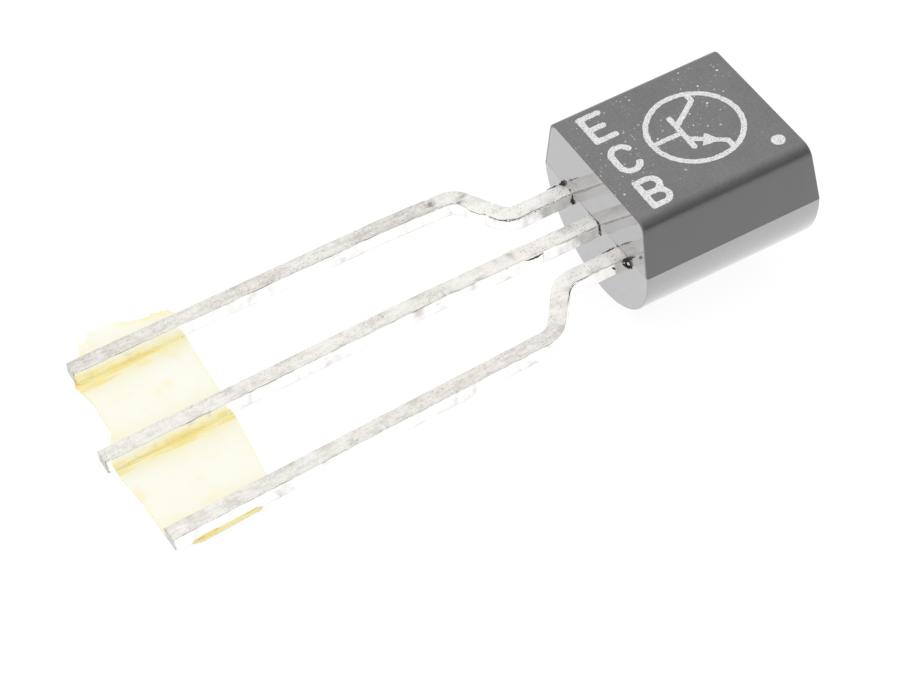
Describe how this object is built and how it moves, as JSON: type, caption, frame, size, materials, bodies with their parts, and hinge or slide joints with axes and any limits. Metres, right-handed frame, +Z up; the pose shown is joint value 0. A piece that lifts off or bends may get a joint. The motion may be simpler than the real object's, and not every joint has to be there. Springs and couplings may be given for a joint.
{
  "type": "three-lead transistor",
  "caption": "Small-signal transistor in a half-round moulded package, its outer leads stepped outwards, with a scrap of holding tape under the lead ends.",
  "frame": {"origin": "middle of the footprint, on the surface that it lies on, flat face up", "axes": "+X from the lead tips towards the body, +Y towards the emitter lead's side, +Z up; the leads slope down to their tips by about 8.2 degrees"},
  "size_m": [0.018, 0.0072, 0.0045],
  "materials": {
    "moulding": "fine matte flat face, glossy round back and ends",
    "tinned_lead": "dull tin plate, a little rough and specked",
    "tape": "thin yellowish tape, darker where the adhesive gathers",
    "silicon": "polished",
    "silver_adhesive": "dull",
    "gold_wire": "bright"
  },
  "bodies": {
    "root": {"package_body": "moulding", "emitter_lead": "tinned_lead", "collector_lead": "tinned_lead", "base_lead": "tinned_lead", "holding_tape": "tape", "transistor_chip": "silicon", "chip_bond": "silver_adhesive", "emitter_wire": "gold_wire", "base_wire": "gold_wire"}
  },
  "joints": []
}
